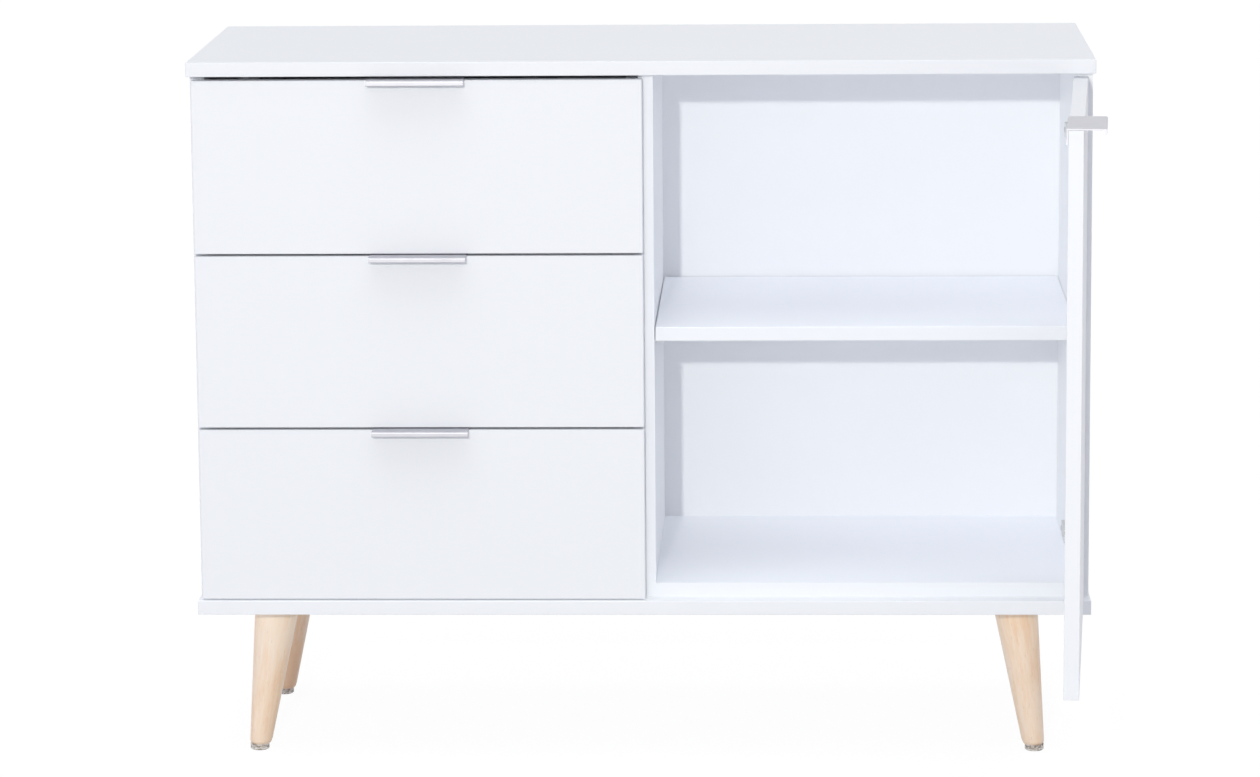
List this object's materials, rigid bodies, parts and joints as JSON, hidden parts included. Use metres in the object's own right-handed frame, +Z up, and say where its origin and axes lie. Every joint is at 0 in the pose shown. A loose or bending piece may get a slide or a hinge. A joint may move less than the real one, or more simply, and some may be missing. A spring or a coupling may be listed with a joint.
{
  "type": "sideboard",
  "caption": "White sideboard on splayed wooden legs, with a column of drawers beside a cupboard with a shelf and a hinged door, and metal edge pulls.",
  "frame": {"origin": "on the floor, under the middle of the box that holds the sideboard with its door open as stored", "axes": "+X to the viewer's right along the fronts, +Y to the back, +Z up"},
  "size_m": [1, 0.8722, 0.793],
  "materials": {
    "white_melamine": "satin white melamine on particle board",
    "white_hardboard": "smooth white lacquer on hardboard",
    "pale_beech": "clear satin lacquer",
    "anodised_aluminium": "satin anodised",
    "zinc_plated_steel": "zinc plated",
    "nickel_plated_steel": "nickel plated",
    "grey_plastic": "moulded"
  },
  "bodies": {
    "carcass": {"top_panel": "white_melamine", "base_board": "white_melamine", "bottom_panel": "white_melamine", "left_side": "white_melamine", "right_side": "white_melamine", "divider": "white_melamine", "back_panel": "white_hardboard", "shelf": "white_melamine", "shelf_pins": "nickel_plated_steel", "front_left_leg": "pale_beech", "front_right_leg": "pale_beech", "rear_left_leg": "pale_beech", "rear_right_leg": "pale_beech", "leg_bolts": "zinc_plated_steel", "leg_inserts": "zinc_plated_steel", "leg_glides": "grey_plastic", "upper_cabinet_rails": "zinc_plated_steel", "middle_cabinet_rails": "zinc_plated_steel", "lower_cabinet_rails": "zinc_plated_steel", "hinge_arms": "nickel_plated_steel", "hinge_arm_screws": "zinc_plated_steel", "hinge_mounting_plates": "nickel_plated_steel", "cabinet_screws": "zinc_plated_steel"},
    "upper_drawer": {"upper_drawer_front": "white_melamine", "upper_drawer_left_side": "white_melamine", "upper_drawer_right_side": "white_melamine", "upper_drawer_back": "white_melamine", "upper_drawer_bottom": "white_hardboard", "upper_drawer_handle": "anodised_aluminium", "upper_handle_screws": "zinc_plated_steel", "upper_drawer_rails": "zinc_plated_steel", "upper_rail_screws": "zinc_plated_steel"},
    "upper_carriers": {"upper_carrier_rails": "zinc_plated_steel"},
    "middle_drawer": {"middle_drawer_front": "white_melamine", "middle_drawer_left_side": "white_melamine", "middle_drawer_right_side": "white_melamine", "middle_drawer_back": "white_melamine", "middle_drawer_bottom": "white_hardboard", "middle_drawer_handle": "anodised_aluminium", "middle_handle_screws": "zinc_plated_steel", "middle_drawer_rails": "zinc_plated_steel", "middle_rail_screws": "zinc_plated_steel"},
    "middle_carriers": {"middle_carrier_rails": "zinc_plated_steel"},
    "lower_drawer": {"lower_drawer_front": "white_melamine", "lower_drawer_left_side": "white_melamine", "lower_drawer_right_side": "white_melamine", "lower_drawer_back": "white_melamine", "lower_drawer_bottom": "white_hardboard", "lower_drawer_handle": "anodised_aluminium", "lower_handle_screws": "zinc_plated_steel", "lower_drawer_rails": "zinc_plated_steel", "lower_rail_screws": "zinc_plated_steel"},
    "lower_carriers": {"lower_carrier_rails": "zinc_plated_steel"},
    "door": {"door_panel": "white_melamine", "door_handle": "anodised_aluminium", "door_handle_screws": "zinc_plated_steel", "hinge_cups": "nickel_plated_steel", "hinge_pins": "zinc_plated_steel", "hinge_cup_screws": "nickel_plated_steel"}
  },
  "joints": [
    {"name": "upper_drawer_slide", "type": "slide", "parent": "carcass", "child": "upper_drawer", "axis": [0, -1, 0], "range_m": [0, 0.34]},
    {"name": "upper_carrier_slide", "type": "slide", "parent": "carcass", "child": "upper_carriers", "axis": [0, -1, 0], "range_m": [0, 0.17]},
    {"name": "middle_drawer_slide", "type": "slide", "parent": "carcass", "child": "middle_drawer", "axis": [0, -1, 0], "range_m": [0, 0.34]},
    {"name": "middle_carrier_slide", "type": "slide", "parent": "carcass", "child": "middle_carriers", "axis": [0, -1, 0], "range_m": [0, 0.17]},
    {"name": "lower_drawer_slide", "type": "slide", "parent": "carcass", "child": "lower_drawer", "axis": [0, -1, 0], "range_m": [0, 0.34]},
    {"name": "lower_carrier_slide", "type": "slide", "parent": "carcass", "child": "lower_carriers", "axis": [0, -1, 0], "range_m": [0, 0.17]},
    {"name": "door_hinge", "type": "hinge", "parent": "carcass", "child": "door", "pos_m": [0.4858, 0.045, 0.4805], "axis": [0, 0, 1], "range_deg": [-86.1, 13.9]}
  ],
  "couplings": [
    {"joint": "upper_carrier_slide", "follows": "upper_drawer_slide", "ratio": 0.5},
    {"joint": "middle_carrier_slide", "follows": "middle_drawer_slide", "ratio": 0.5},
    {"joint": "lower_carrier_slide", "follows": "lower_drawer_slide", "ratio": 0.5}
  ]
}
